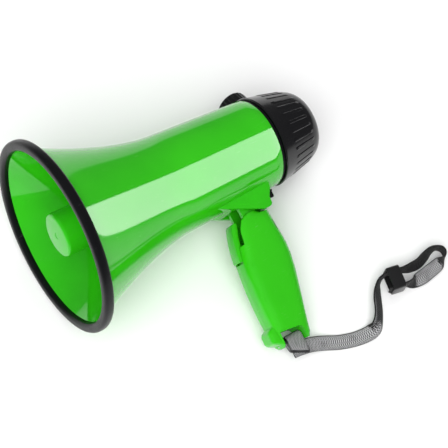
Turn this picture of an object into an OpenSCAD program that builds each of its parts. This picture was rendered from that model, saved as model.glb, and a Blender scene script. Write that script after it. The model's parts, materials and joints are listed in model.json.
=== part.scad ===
// Handheld electric megaphone: reflex horn, folding pistol grip, twist-off rear unit, wrist strap.
// It is drawn along its horn axis (mouth at z = 0, grip towards +x) and then laid down on its right side.

/* [Horn] */
// Outer radius of the soft rim ring
rim_r = 77.5; // [75:0.5:80]
// Outer radius of the bell at its front edge
bell_r = 73.4; // [72.5:0.1:74]
// Distance from the mouth to the end of the flare
flare_len = 104; // [102:0.5:106]
// Outer radius of the drum at the end of the flare
drum_front_r = 40.6; // [40.4:0.1:41]
// Outer radius of the drum at its rear edge
drum_rear_r = 37.2; // [37:0.1:37.6]
// Distance from the mouth to the rear edge of the drum
drum_end = 190.5; // [190:0.1:191]
// Wall thickness of the horn and the drum
wall = 2.4; // [2.2:0.1:2.6]
// Outer radius of the reflector cup in the mouth
cup_r = 17.5; // [17:0.5:19]

/* [Rear unit] */
// Outer radius of the rear cap at its front shoulder
cap_r = 38; // [37.6:0.1:38.4]
// Distance from the mouth to the rear face of the cap
cap_end = 238; // [237:0.5:240]
// Number of finger ribs round the cap
cap_ribs = 30; // [18:1:36]
// Angle of the volume knob from the top, towards the right side
knob_angle = 35; // [25:1:40]
// Radius of the volume knob
knob_r = 14; // [12:0.5:14]

/* [Grip] */
// Distance of the fold hinge below the horn axis
hinge_x = 66; // [65.5:0.1:66.5]
// Distance of the fold hinge behind the mouth
hinge_z = 150.5; // [150:0.1:151]
// Radius of the rounded top of the grip
knuckle_r = 18.5; // [18:0.1:18.5]
// Half thickness of the grip
grip_half = 13.5; // [13.3:0.1:14]

/* [Strap] */
// Width of the webbing
web_w = 12; // [10:0.5:13]
// Thickness of the webbing
web_t = 1.6; // [1.2:0.1:2]

/* [Hidden] */
$fn = 96;

GREEN = [0.22, 0.80, 0.06];
DARK_GREEN = [0.15, 0.60, 0.05];
BLACK = [0.05, 0.05, 0.055];
GREY = [0.35, 0.35, 0.37];
STEEL = [0.72, 0.73, 0.75];
BRASS = [0.80, 0.66, 0.30];

// Rim ring section
rim_len = 8;
rim_corner = 3.2;
rim_inner_r = rim_r - 8;
// Rear cap front face, shoulder round and spigot
cap_front = drum_end + 3;
cap_shoulder = 1;
cap_slope = 0.215;
cap_corner_z = cap_end - 13;
cap_corner_r = cap_r - cap_slope * (cap_corner_z - cap_front);
cap_bore = 32.6;
spigot_r = 34.3;

// Laid on its right side it rests on the rim ring, the cap's shoulder and the foot of the grip.
// The first two set its pitch, and the foot's corner then sets its roll.
rim_c = [rim_r - rim_corner, rim_len - rim_corner];
cap_c = [cap_r - cap_shoulder, cap_front + cap_shoulder];
span = [rim_c.x - cap_c.x, cap_c.y - rim_c.y];
lie_pitch = acos((cap_shoulder - rim_corner) / norm(span)) - atan2(span.y, span.x);
floor_d = rim_c.x * cos(lie_pitch) + rim_c.y * sin(lie_pitch) + rim_corner;
foot = [151, 11.16, 146.8];
lie_roll = atan2(foot.y, foot.x)
    + acos((floor_d - foot.z * sin(lie_pitch)) / (cos(lie_pitch) * norm([foot.x, foot.y])));
// Puts the middle of the laid object's footprint at the origin
centre_x = -110.9;
centre_y = 37.3;

module place() {
    translate([centre_x, centre_y, floor_d])
        rotate([0, 90 + lie_pitch, 0])
            rotate([0, 0, -lie_roll])
                children();
}

function bezier(p, t) =
    pow(1 - t, 3) * p[0] + 3 * t * pow(1 - t, 2) * p[1] + 3 * t * t * (1 - t) * p[2] + pow(t, 3) * p[3];
function curve(p, steps) = [for (i = [0:steps]) bezier(p, i / steps)];
function reversed(v) = [for (i = [len(v) - 1:-1:0]) v[i]];

// ---- solids swept through rings of points: lofts, coils and webbing ----
module skin(rings) {
    m = len(rings[0]);
    last = len(rings) - 1;
    sides = [
        for (i = [0:last - 1], j = [0:m - 1])
            let (a = i * m + j, b = i * m + (j + 1) % m)
            each [[b, a, b + m], [b + m, a, a + m]]
    ];
    polyhedron(
        points = [for (r = rings) each r],
        faces = concat([[for (j = [0:m - 1]) j]], sides, [[for (j = [m - 1:-1:0]) last * m + j]])
    );
}

// Superellipse across the grip at height x: s = [x, front z, rear z, half thickness]
function grip_ring(s, sides, power) = [
    for (i = [0:sides - 1])
        let (a = 360 * i / sides, c = cos(a), d = sin(a))
        [
            s[0],
            s[3] * sign(c) * pow(abs(c), 2 / power),
            (s[1] + s[2]) / 2 + (s[2] - s[1]) / 2 * sign(d) * pow(abs(d), 2 / power)
        ]
];

// Rings of a coil spring about +z
function coil_rings(r, pitch, turns, wire_r, steps = 14, sides = 8) = [
    for (i = [0:turns * steps])
        let (a = 360 * i / steps, out = [cos(a), sin(a), 0])
        [
            for (j = [sides - 1:-1:0])
                let (b = 360 * j / sides)
                out * (r + wire_r * cos(b)) + [0, 0, pitch * a / 360 + wire_r * sin(b)]
        ]
];

module tube(r_out, r_in, z0, z1) {
    translate([0, 0, z0])
        difference() {
            cylinder(r = r_out, h = z1 - z0);
            translate([0, 0, -1]) cylinder(r = r_in, h = z1 - z0 + 2);
        }
}

module ring_of(n, r, start = 0) {
    for (i = [0:n - 1])
        rotate([0, 0, start + i * 360 / n]) translate([r, 0, 0]) children();
}

// Extrudes a side profile drawn as [x, z] symmetrically across the grip
module across(half) {
    rotate([90, 0, 0]) linear_extrude(height = 2 * half, center = true) children();
}

// A cylinder that runs across the grip
module cross_pin(x, z, r, y0, y1) {
    translate([x, y0, z]) rotate([-90, 0, 0]) cylinder(r = r, h = y1 - y0);
}

// ---- horn ----
flare_line = [[bell_r, 3], [60.8, 24], [42.2, 73], [drum_front_r, flare_len]];
flare_steps = 22;
bulkhead_z = 99.6;
bulkhead_t = 3;
driver_z = bulkhead_z + bulkhead_t;
driver_screw_r = 28;
screw_r = 1.4;

function drum_r(z) =
    drum_front_r + (drum_rear_r - drum_front_r) * (z - flare_len) / (drum_end - flare_len);

module horn_shell() {
    flare = curve(flare_line, flare_steps);
    skin_t = wall * 1.08;
    color(GREEN)
        difference() {
            union() {
                rotate_extrude($fn = 160)
                    polygon(concat(
                        flare,
                        [[drum_rear_r, drum_end], [drum_rear_r - wall, drum_end]],
                        reversed([for (p = flare) p - [skin_t, 0]])
                    ));
                translate([0, 0, bulkhead_z]) cylinder(r = drum_r(flare_len) - 1, h = bulkhead_t);
                ring_of(3, driver_screw_r, 90) translate([0, 0, bulkhead_z - 7]) cylinder(r = 3.4, h = 8);
            }
            translate([0, 0, bulkhead_z - 1]) cylinder(r = 13, h = bulkhead_t + 2);
            ring_of(3, driver_screw_r, 90)
                translate([0, 0, bulkhead_z - 5]) cylinder(r = screw_r, h = 20);
            bracket_screw_places() translate([0, 0, -0.3]) cylinder(r = 1.6, h = 8);
            translate([20, 0, 146]) rotate([0, 90, 0]) cylinder(r = 2.5, h = 30);
            translate([30, -slot_half, lever_z - lever_travel - 0.9])
                cube([12, 2 * slot_half, lever_travel + lever_t + 1.8]);
        }
}

module rim_ring() {
    c = rim_corner;
    color(BLACK)
        rotate_extrude($fn = 160)
            difference() {
                union() {
                    translate([rim_inner_r + c, 0]) square([rim_r - rim_inner_r - 2 * c, rim_len]);
                    translate([rim_inner_r, c]) square([rim_r - rim_inner_r, rim_len - 2 * c]);
                    for (x = [rim_inner_r + c, rim_r - c], y = [c, rim_len - c])
                        translate([x, y]) circle(r = c, $fn = 48);
                }
                polygon([
                    [bell_r + 0.3, 2.9], [bell_r - 3.2, 2.9],
                    [bell_r - 6.6, rim_len + 1], [bell_r - 1.9, rim_len + 1]
                ]);
            }
}

module reflector_cup() {
    front = 6;
    back = 78;
    skirt = 5.5;
    color(GREEN)
        difference() {
            union() {
                rotate_extrude()
                    polygon(concat(
                        [[0, front], [cup_r - 2.5, front], [cup_r - 0.8, front + 0.6], [cup_r, front + 2]],
                        [[cup_r + 0.4, 40]],
                        curve([[cup_r + 0.6, 50], [cup_r + 1, 62], [cup_r + 2, 72], [cup_r + skirt, back]], 8),
                        reversed(curve([
                            [cup_r - 1.2, 50], [cup_r - 1, 62], [cup_r + 0.2, 73], [cup_r + skirt - 1.6, back]
                        ], 8)),
                        [[cup_r - 1.4, 40], [cup_r - 1.8, front + 3.9]],
                        [[cup_r - 4, front + 2.6], [0, front + 2.6]]
                    ));
                ring_of(3, 0, 30) translate([11.6, -0.8, 34]) cube([cup_r - 12.4, 1.6, 26]);
            }
            translate([0, 0, front - 1]) cylinder(r = 2.5, h = 1.6);
        }
}

module throat_tube() {
    color(DARK_GREEN) {
        tube(11.5, 9.3, 26, driver_z + 1.5);
        tube(21, 9.3, driver_z, driver_z + 1.5);
    }
}

// ---- compression driver, bolted to the back of the bulkhead ----
frame_z = driver_z + 1.6;

module driver_frame() {
    color(GREY)
        difference() {
            rotate_extrude()
                polygon([
                    [9.3, frame_z], [21.5, frame_z], [21.5, driver_z], [32, driver_z], [32, frame_z + 3.4],
                    [18, frame_z + 3.4], [18, frame_z + 2], [9.3, frame_z + 2]
                ]);
            ring_of(3, driver_screw_r, 90) translate([0, 0, driver_z - 1]) cylinder(r = 1.7, h = 9);
        }
}

module driver_diaphragm() {
    dome = 13;
    color(STEEL)
        translate([0, 0, frame_z + 3.4])
            rotate_extrude()
                polygon([
                    [0, -1.6], [6, -1.1], [dome - 1, 0.4], [dome, 1.2], [15, 0.4], [18, 0], [18, 0.5],
                    [15.2, 0.9], [dome + 0.3, 1.8], [dome - 0.6, 1.4], [6, -0.5], [0, -1]
                ]);
}

module voice_coil() {
    color(BRASS) tube(13.1, 12.5, frame_z + 5.2, frame_z + 12);
}

module driver_top_plate() {
    color(STEEL) tube(25, 13.6, frame_z + 6, frame_z + 9);
}

module driver_magnet() {
    color(GREY) tube(26, 15.5, frame_z + 9, frame_z + 17);
}

module driver_yoke() {
    color(STEEL)
        translate([0, 0, frame_z + 17]) {
            cylinder(r = 25, h = 3);
            translate([0, 0, -10.5]) cylinder(r = 12, h = 11);
        }
}

module driver_cover() {
    back = frame_z + 21;
    color(BLACK)
        difference() {
            tube(31, 29.4, frame_z + 3.5, back);
            ring_of(2, 24, 0) translate([0, 0, back - 2]) cylinder(r = 1.4, h = 4);
            ring_of(3, driver_screw_r, 90) translate([0, 0, frame_z + 3]) cylinder(r = 3.3, h = 5);
        }
    color(BLACK)
        difference() {
            tube(31, 5, back, back + 1.6);
            ring_of(2, 24, 0) translate([0, 0, back - 1]) cylinder(r = 1.4, h = 4);
        }
}

module driver_screws() {
    color(STEEL)
        ring_of(3, driver_screw_r, 90) {
            translate([0, 0, bulkhead_z - 4.5]) cylinder(r = screw_r, h = frame_z + 3.4 - bulkhead_z + 4.6);
            translate([0, 0, frame_z + 3.45]) cylinder(r = 2.7, h = 1.8);
        }
}

module driver_wires() {
    color("firebrick")
        ring_of(2, 24, 0)
            translate([0, 0, frame_z + 20.1]) cylinder(r = 0.8, h = cradle_z - frame_z - 20.2, $fn = 24);
}

// ---- battery bay ----
cell_r = 13.1;
cell_len = 50;
cell_place = 13.5;
cell_z = cap_front - 3 - cell_len;
cradle_z = cell_z - 4;

module cell_places() {
    for (i = [0:3]) rotate([0, 0, 45 + 90 * i]) translate([cell_place * sqrt(2), 0, 0]) children();
}

module battery_cradle() {
    color(BLACK)
        difference() {
            union() {
                translate([0, 0, cradle_z]) cylinder(r = drum_r(cradle_z) - wall - 0.6, h = 2);
                for (a = [0, 90, 180, 270])
                    rotate([0, 0, a]) translate([22, -1.2, cradle_z + 2]) cube([12, 2.4, 32]);
            }
            cell_places() translate([0, 0, cradle_z + 2.1]) cylinder(r = cell_r + 0.2, h = 60);
            cell_places() translate([0, 0, cradle_z - 1]) cylinder(r = 1.2, h = 4);
        }
}

module battery(i) {
    up = i % 2 == 0;
    color(i % 2 == 0 ? [0.12, 0.13, 0.16] : [0.16, 0.17, 0.2])
        rotate([0, 0, 45 + 90 * i])
            translate([cell_place * sqrt(2), 0, cell_z + (up ? 0 : cell_len)])
                mirror([0, 0, up ? 0 : 1]) {
                    cylinder(r = cell_r, h = cell_len - 2);
                    cylinder(r = 3.2, h = cell_len - 0.3);
                }
}

module cradle_contacts() {
    color(BRASS)
        for (a = [0, 180])
            rotate([0, 0, a])
                translate([cell_place - 4, -cell_place - 4, cradle_z + 2])
                    cube([8, 2 * cell_place + 8, 0.5]);
}

module spring_at_cell(i, z, h) {
    wire_r = 0.3;
    rise = h - 2 * wire_r;
    turns = max(1, floor(rise / 0.9));
    rotate([0, 0, 45 + 90 * i])
        translate([cell_place * sqrt(2), 0, z + wire_r])
            skin(coil_rings(4.2, rise / turns, turns, wire_r));
}

// The negative ends of two cells press on springs at the cradle, the other two at the rear unit
module cradle_springs() {
    color(STEEL)
        for (i = [0, 2]) spring_at_cell(i, cradle_z + 2.5, cell_z - cradle_z - 2.6);
}

// ---- bracket that carries the grip ----
bracket_half = 18.5;
pocket_half = 15.2;
pocket_roof = 41.3;
lug_in = 7.4;
lug_out = 11.2;
hinge_r = 2.5;
lug_r = 6;

module bracket_screw_places() {
    for (p = [[34.1, 143], [33.2, 162]], y = [-12, 12])
        translate([p.x, y, p.y]) rotate([0, 90, 0]) children();
}

module handle_bracket() {
    rear = 169.5;
    color(GREEN)
        difference() {
            across(bracket_half)
                polygon([
                    [30, 117], [34, 121], [36, 126.5], [49.2, 157.6], [51, 161.5], [51.2, rear - 3],
                    [50.4, rear - 1], [49, rear], [44, rear + 0.4], [37, rear + 5], [30, rear + 6]
                ]);
            translate([0, 0, flare_len])
                cylinder(r1 = drum_front_r + 0.02, r2 = drum_rear_r + 0.02, h = drum_end - flare_len);
            difference() {
                across(pocket_half)
                    polygon([[pocket_roof, 133], [60, 133], [60, rear - 3], [pocket_roof, rear - 3]]);
                for (y = [-lug_out, lug_in])
                    translate([pocket_roof - 1, y, hinge_z - lug_r])
                        cube([hinge_x, lug_out - lug_in, 2 * lug_r]);
            }
            bracket_screw_places() cylinder(r = 1.3, h = 6.4);
            translate([30, 0, 146]) rotate([0, 90, 0]) cylinder(r = 2.5, h = 12);
        }
    color(GREEN)
        for (y = [-lug_out, lug_in])
            translate([0, y, 0])
                difference() {
                    union() {
                        translate([pocket_roof - 1, 0, hinge_z - lug_r])
                            cube([hinge_x - pocket_roof + 1, lug_out - lug_in, 2 * lug_r]);
                        cross_pin(hinge_x, hinge_z, lug_r, 0, lug_out - lug_in);
                    }
                    cross_pin(hinge_x, hinge_z, hinge_r + 0.05, -1, lug_out);
                }
}

module bracket_screws() {
    color(STEEL)
        bracket_screw_places() {
            translate([0, 0, -0.4]) cylinder(r = 1.3, h = 6.4);
            translate([0, 0, -2]) cylinder(r = 2.4, h = 1.6);
        }
}

// The lever stands out through a slot in the drum, just behind the bracket
lever_z = 178.9;
lever_t = 3.2;
lever_travel = 3;
slot_half = 1.7;

module switch_body() {
    color(GREY)
        difference() {
            translate([26.5, -4.5, lever_z - 6.5]) cube([7.2, 9, 12.5]);
            translate([29.5, -1.7, lever_z - 5.4]) cube([6, 3.4, 10.3]);
        }
}

module mode_slider() {
    h = lever_t;
    color(BLACK) {
        translate([29.8, -1.4, lever_z - 0.6]) cube([9, 2.8, h + 1.2]);
        translate([0, 3.2, lever_z])
            rotate([90, 0, 0])
                linear_extrude(height = 6.4)
                    polygon([
                        [38.3, -0.8], [38.3, h + 0.8], [39.4, h + 0.8], [40, h], [43.8, h],
                        [44.6, h - 0.8], [44.6, 0.8], [43.8, 0], [40, 0], [39.4, -0.8]
                    ]);
    }
}

// ---- rear unit ----
module cap_seal() {
    color(BLACK) tube(36.2, spigot_r + 0.4, drum_end + 0.3, cap_front - 0.3);
}

module knob_frame() {
    translate([0, 0, knob_z]) rotate([0, 0, 180 - knob_angle]) rotate([0, 90, 0]) children();
}

knob_z = 203;
knob_base = 38.3;
knob_top = 49.5;

module rear_cap() {
    s = cap_shoulder;
    t = 2.4;
    corner = [
        [cap_corner_r, cap_corner_z], [cap_corner_r - 1.7, cap_corner_z + 8],
        [cap_corner_r - 5, cap_end], [18, cap_end]
    ];
    color(BLACK)
        difference() {
            union() {
                rotate_extrude($fn = 128)
                    difference() {
                        polygon(concat(
                            [[17, cap_end], [17, cap_front], [cap_r - s, cap_front]],
                            [for (a = [-90:15:0]) [cap_r - s + s * cos(a), cap_front + s + s * sin(a)]],
                            curve(corner, 10)
                        ));
                        polygon([
                            [0, cap_front - 1], [cap_bore, cap_front - 1], [cap_bore, 196.2], [30, 196.2],
                            [30, 198], [cap_r - t - 1.2, 198], [cap_corner_r - t, cap_corner_z],
                            [26, cap_end - t], [0, cap_end - t]
                        ]);
                    }
                tube(spigot_r, cap_bore, cap_front - 8, cap_front + 1);
                tube(19, 15.5, cap_end - t - 1, cap_end);
                for (i = [0:cap_ribs - 1])
                    rotate([0, 0, (i + 0.5) * 360 / cap_ribs])
                        translate([cap_r - 5.35, -0.9, 207])
                            rotate([0, -atan(cap_slope), 0])
                                cube([2.6, 1.8, 18]);
                knob_frame() translate([0, 0, 33]) cylinder(r = 9, h = 4.7);
                ring_of(3, 25, 50) translate([0, 0, 214.7]) cylinder(r = 2.4, h = 22);
            }
            knob_frame() cylinder(r = 3.5, h = 60);
            knob_frame() cylinder(r = 8, h = 33.1);
        }
}

module contact_plate() {
    color(GREY)
        difference() {
            translate([0, 0, 194.3]) cylinder(r = 32.4, h = 1.8);
            rotate([0, 0, 180 - knob_angle]) translate([24, -8, 190]) cube([20, 16, 10]);
        }
}

module contact_springs() {
    color(STEEL)
        for (i = [1, 3]) spring_at_cell(i, cell_z + cell_len + 0.1, 3.6);
}

module circuit_board() {
    color([0.05, 0.32, 0.14])
        difference() {
            translate([0, 0, 213]) cylinder(r = 28.5, h = 1.6);
            ring_of(3, 25, 50) translate([0, 0, 212]) cylinder(r = 1.1, h = 4);
        }
}

module amplifier_chip() {
    color([0.08, 0.08, 0.09]) translate([4, -8, 214.7]) cube([14, 9, 3]);
    color(STEEL)
        for (i = [0:3]) translate([4 + i * 4, -8, 217.7]) cube([2, 9, 4]);
}

module capacitors() {
    color([0.1, 0.15, 0.4])
        for (p = [[-12, -8], [-12, 4], [-2, 13]]) translate([p.x, p.y, 214.7]) cylinder(r = 4, h = 9);
}

module volume_pot() {
    color(STEEL)
        knob_frame()
            difference() {
                union() {
                    translate([0, 0, 26.6]) cylinder(r = 6.8, h = 6.2);
                    translate([0, 0, 32.5]) cylinder(r = 3.4, h = 8);
                }
                translate([0, 0, 28]) cylinder(r = 2.06, h = 20);
            }
}

module pot_nut() {
    color(STEEL)
        knob_frame()
            difference() {
                translate([0, 0, 37.8]) cylinder(r = 5, h = 2, $fn = 6);
                translate([0, 0, 37]) cylinder(r = 3.42, h = 4);
            }
}

module pot_shaft() {
    color(STEEL) knob_frame() translate([0, 0, 28.4]) cylinder(r = 2, h = 19);
}

module volume_knob() {
    flutes = 24;
    color(BLACK)
        knob_frame()
            difference() {
                union() {
                    translate([0, 0, knob_base]) cylinder(r = knob_r, h = knob_top - knob_base - 1);
                    translate([0, 0, knob_top - 1]) cylinder(r1 = knob_r, r2 = knob_r - 1, h = 1);
                }
                for (i = [0:flutes - 1])
                    rotate([0, 0, i * 360 / flutes])
                        translate([knob_r + 0.5, 0, knob_base + 1.5]) cylinder(r = 1.3, h = 20, $fn = 24);
                translate([0, 0, knob_base - 1]) cylinder(r = 6.6, h = 3.6);
                translate([0, 0, knob_base - 1]) cylinder(r = 2, h = 10.1);
                translate([6, -0.6, knob_top - 0.6]) cube([knob_r, 1.2, 2]);
            }
}

module mic_capsule() {
    color(STEEL) translate([0, 0, 225]) cylinder(r = 4.8, h = 6);
}

module mic_foam() {
    color(GREY)
        difference() {
            translate([0, 0, 228]) cylinder(r = 11, h = cap_end - 2.4 - 228);
            translate([0, 0, 227]) cylinder(r = 4.9, h = 4.1);
        }
}

module mic_grille() {
    color(BLACK)
        difference() {
            translate([0, 0, cap_end - 2.2]) cylinder(r = 15.4, h = 2.8);
            for (i = [-3:3])
                translate([i * 4 - 0.9, -sqrt(150 - 16 * i * i) , cap_end - 3])
                    cube([1.8, 2 * sqrt(150 - 16 * i * i), 5]);
        }
}

// ---- grip ----
grip_wall = 2.2;
grip_power = 4.2;
bar_x = 150.2;
bar_r = 1.6;
arch = [148, 141.8];
arch_r = 4.8;
trigger_pivot = [87, 134.4];

grip_top = [
    for (a = [14, 27, 37])
        [hinge_x - knuckle_r * cos(a), hinge_z - knuckle_r * sin(a), hinge_z + knuckle_r * sin(a), grip_half]
];
grip_body = [
    [52, 138.4, 168.2, grip_half],
    [56, 134.9, 168.5, grip_half],
    [60, 133.2, 168.7, grip_half],
    [66, 131.9, 169, grip_half],
    [73, 129.8, 169.7, grip_half],
    [81, 127.6, 170, grip_half],
    [90, 125.9, 169.2, grip_half],
    [101, 124.6, 166.8, grip_half],
    [112, 123.7, 163.6, grip_half],
    [124, 123.1, 160, grip_half - 0.3],
    [134, 123, 157, grip_half - 0.8],
    [143, 123.4, 154.4, grip_half - 1.4],
    [151, 124.4, 152.4, grip_half - 2],
    [154.5, 127, 150.4, grip_half - 3.6]
];

module grip_outside() {
    skin([for (s = concat(grip_top, grip_body)) grip_ring(s, 36, grip_power)]);
    // finger stop at the toe
    hull()
        for (p = [[140, 121.8], [144.3, 121.6], [147.4, 127.2], [137, 127]], y = [-5.5, 5.5])
            translate([p.x, y, p.y]) sphere(r = 4, $fn = 24);
}

module grip_inside() {
    w = grip_wall;
    skin([
        for (i = [1:11])
            grip_ring(grip_body[i] + [0, w, -w, -2], 36, grip_power)
    ]);
    cross_pin(hinge_x, hinge_z, knuckle_r - w, -lug_out - 0.3, lug_out + 0.3);
}

// Opening at the top where the bracket's lugs sweep while the grip folds
module lug_sweep() {
    reach = 30;
    across(lug_out + 0.3)
        polygon(concat(
            [[hinge_x, hinge_z]],
            [for (a = [-26:2.5:99]) [hinge_x - reach * cos(a), hinge_z - reach * sin(a)]]
        ));
}

screw_places = [[97, 160], [114, 130.5], [130, 148]];

module grip_bosses() {
    for (p = screw_places) cross_pin(p.x, p.y, 3.4, -grip_half + 1.5, grip_half - 1.5);
    for (y = [-grip_half + 1, lug_out - 0.2]) cross_pin(trigger_pivot.x, trigger_pivot.y, 3, y, y + 2.5);
    for (y = [-12, 4]) translate([84.4, y, 141]) cube([2, 8, 8]);
}

module grip_half_shell(side) {
    difference() {
        intersection() {
            union() {
                difference() {
                    grip_outside();
                    grip_inside();
                }
                grip_bosses();
            }
            translate([0, side < 0 ? -40 : 0, 100]) cube([200, 40, 100]);
        }
        lug_sweep();
        across(7) polygon([[56, 118], [81, 118], [81, 131.5], [56, 140]]);
        across(20)
            polygon([
                [160, 126.5], [141.2, 126.5], [143.2, arch.y], [arch.x, arch.y + arch_r], [160, arch.y + arch_r]
            ]);
        cross_pin(arch.x, arch.y, arch_r, -20, 20);
        strap_bar_shape();
        cross_pin(hinge_x, hinge_z, hinge_r, -12.9, 12.9);
        cross_pin(trigger_pivot.x, trigger_pivot.y, 1.5, -12.6, 12.6);
        for (p = screw_places) {
            cross_pin(p.x, p.y, screw_r, -8, 20);
            cross_pin(p.x, p.y, 2.9, grip_half - 4.5, 20);
        }
    }
}

module grip_left() {
    color(GREEN) grip_half_shell(-1);
}

module grip_right() {
    color(GREEN) grip_half_shell(1);
}

module grip_screws() {
    color(STEEL)
        for (p = screw_places) {
            cross_pin(p.x, p.y, screw_r, -7.5, grip_half - 4.5);
            cross_pin(p.x, p.y, 2.7, grip_half - 4.5, grip_half - 2.7);
        }
}

module hinge_pin() {
    color(STEEL) cross_pin(hinge_x, hinge_z, hinge_r, -12.9, 12.9);
}

module trigger() {
    t = trigger_pivot;
    color(GREEN)
        difference() {
            union() {
                across(6.5)
                    polygon([
                        [50, 137.4], [50.2, 136], [51.2, 134.6], [56, 132.4], [64, 129.6], [72, 127.6],
                        [78, 126.4], [79.4, 126.6], [79.8, 128], [79.4, 130.6],
                        [t.x - 1, t.y - 3.2], [t.x - 3, t.y + 1.5],
                        [78, 133.2], [72, 132.2], [60, 135.6], [53, 138.6], [51, 138.8]
                    ]);
                cross_pin(t.x, t.y, 3.3, -6.5, 6.5);
                across(2) polygon([[72, 132], [79, 132.4], [78, 138.6], [76, 138.6]]);
            }
            cross_pin(t.x, t.y, 1.56, -7, 7);
        }
}

module trigger_pin() {
    color(STEEL) cross_pin(trigger_pivot.x, trigger_pivot.y, 1.5, -12.6, 12.6);
}

// Torsion spring on the trigger's pivot pin
module trigger_spring() {
    t = trigger_pivot;
    color(STEEL) {
        translate([t.x, 7.2, t.y]) rotate([-90, 0, 0]) skin(coil_rings(2.3, 0.75, 3, 0.3));
        translate([t.x - 2.3, 8.2, t.y]) cylinder(r = 0.3, h = 6, $fn = 16);
    }
}

module talk_switch() {
    color(BLACK) translate([72, -3.2, 141.2]) cube([12.3, 6.4, 7]);
    color(STEEL) translate([77, 0, 139.9]) cylinder(r = 1, h = 1.4, $fn = 24);
}

module strap_bar_shape() {
    translate([bar_x, 0, 124.5]) cylinder(r = bar_r, h = 26);
}

module strap_bar() {
    color(STEEL) strap_bar_shape();
}

// ---- strap ----
bight_end = 162;
bight_r = 3;
bight_z = 132;
bight_w = 14;

module bight_outline(r) {
    for (x = [bar_x, bight_end]) translate([x, 0]) circle(r = r);
    translate([bar_x, -r]) square([bight_end - bar_x, 2 * r]);
}

// Folded end of the webbing, hitched round the bar; the strap passes through it
module strap_loop() {
    color(BLACK)
        translate([0, 0, bight_z])
            linear_extrude(height = bight_w)
                difference() {
                    bight_outline(bight_r + web_t);
                    bight_outline(bight_r);
                }
}

// The strap on the surface: [x, y, z of its middle, tilt of its width from flat]
strap_route = [
    [12, -116.5, 10.8, 14], [17, -117, 9.7, 14], [22, -117.8, 8.4, 14], [26.7, -118.6, 6.8, 13],
    [31.5, -119.7, 4.6, 11], [36.5, -121.5, 2.8, 8], [42, -124.1, 1.6, 3], [48.5, -127.6, 1, 0],
    [55, -130.4, 1, 0], [62, -132.8, 1, 0], [69, -134.3, 1.2, 2], [75.5, -135, 2.1, 10],
    [81, -134.3, 4.1, 32], [85.5, -131.8, 5.3, 48], [90, -127.6, 5.7, 56], [94.4, -122.8, 5.8, 58],
    [98.6, -117.6, 6, 60], [102.7, -111.6, 6.2, 66], [106.7, -105.6, 7.1, 78], [111.4, -102.7, 7.8, 90],
    [117.2, -103.6, 7.9, 90], [122.8, -105, 7.7, 90], [128, -106.6, 6.9, 90], [133.5, -108, 6.3, 90],
    [141, -108.6, 6.2, 90], [149, -106.6, 6.2, 90], [156, -104.8, 6.2, 90], [161.3, -105.3, 6.2, 90],
    [164.7, -108.3, 6.2, 90], [164.8, -112.6, 6.2, 90], [161.6, -116, 6.2, 98], [155.5, -118.4, 5.9, 115],
    [147, -119.8, 5.5, 128], [138, -120.6, 5.5, 128], [130.5, -120, 6.3, 115], [124.8, -118.8, 7.4, 98],
    [119.8, -117.8, 7.9, 90], [114, -116.6, 7.8, 90], [107.5, -115.4, 7.8, 90]
];

function xyz(p) = [p.x, p.y, p.z];
function unit(v) = v / norm(v);

module wrist_strap() {
    n = len(strap_route);
    h = web_t / 2;
    e = web_w / 2;
    section = [
        [e, h / 2], [e - 0.6, h], [0.6 - e, h], [-e, h / 2],
        [-e, -h / 2], [0.6 - e, -h], [e - 0.6, -h], [e, -h / 2]
    ];
    color(BLACK)
        skin([
            for (i = [0:n - 1])
                let (
                    p = strap_route[i],
                    t = unit(xyz(strap_route[min(i + 1, n - 1)]) - xyz(strap_route[max(i - 1, 0)])),
                    left = unit([-t.y, t.x, 0]),
                    w = cos(p[3]) * left + sin(p[3]) * cross(t, left)
                )
                [for (q = section) xyz(p) + q.x * w + q.y * cross(t, w)]
        ]);
}

keeper_len = 11;
keeper_w = 19.4;
keeper_h = 15.7;
keeper_wall = 1.5;

module keeper_outline(inset, corner) {
    x = keeper_w / 2 - inset - corner;
    y = keeper_h / 2 - inset - corner;
    for (sx = [-x, x], sy = [-y, y]) translate([sx, sy]) circle(r = corner);
    square([2 * (x + corner), 2 * y], center = true);
    square([2 * x, 2 * (y + corner)], center = true);
}

// Sliding keeper that holds the two sides of the hand loop together
module strap_slider() {
    color(BLACK)
        translate([115.9, -110.2, keeper_h / 2 + 0.1])
            rotate([0, 0, -13])
                rotate([90, 0, 90])
                    translate([0, 0, -keeper_len / 2])
                        linear_extrude(height = keeper_len)
                            difference() {
                                keeper_outline(0, 2.4);
                                keeper_outline(keeper_wall, 1);
                            }
}

place() horn_shell();
place() rim_ring();
place() reflector_cup();
place() throat_tube();
place() driver_frame();
place() driver_diaphragm();
place() voice_coil();
place() driver_top_plate();
place() driver_magnet();
place() driver_yoke();
place() driver_cover();
place() driver_screws();
place() driver_wires();
place() battery_cradle();
place() battery(0);  // battery_1
place() battery(1);  // battery_2
place() battery(2);  // battery_3
place() battery(3);  // battery_4
place() cradle_contacts();
place() cradle_springs();
place() handle_bracket();
place() bracket_screws();
place() switch_body();
place() mode_slider();
place() cap_seal();
place() rear_cap();
place() contact_plate();
place() contact_springs();
place() circuit_board();
place() amplifier_chip();
place() capacitors();
place() volume_pot();
place() pot_nut();
place() pot_shaft();
place() volume_knob();
place() mic_capsule();
place() mic_foam();
place() mic_grille();
place() grip_left();
place() grip_right();
place() grip_screws();
place() hinge_pin();
place() trigger();
place() trigger_pin();
place() trigger_spring();
place() talk_switch();
place() strap_bar();
place() strap_loop();
wrist_strap();
strap_slider();
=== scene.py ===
import json
from math import cos, pi, radians, sin, sqrt

import bmesh
import bpy
from mathutils import Matrix, Vector


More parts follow.
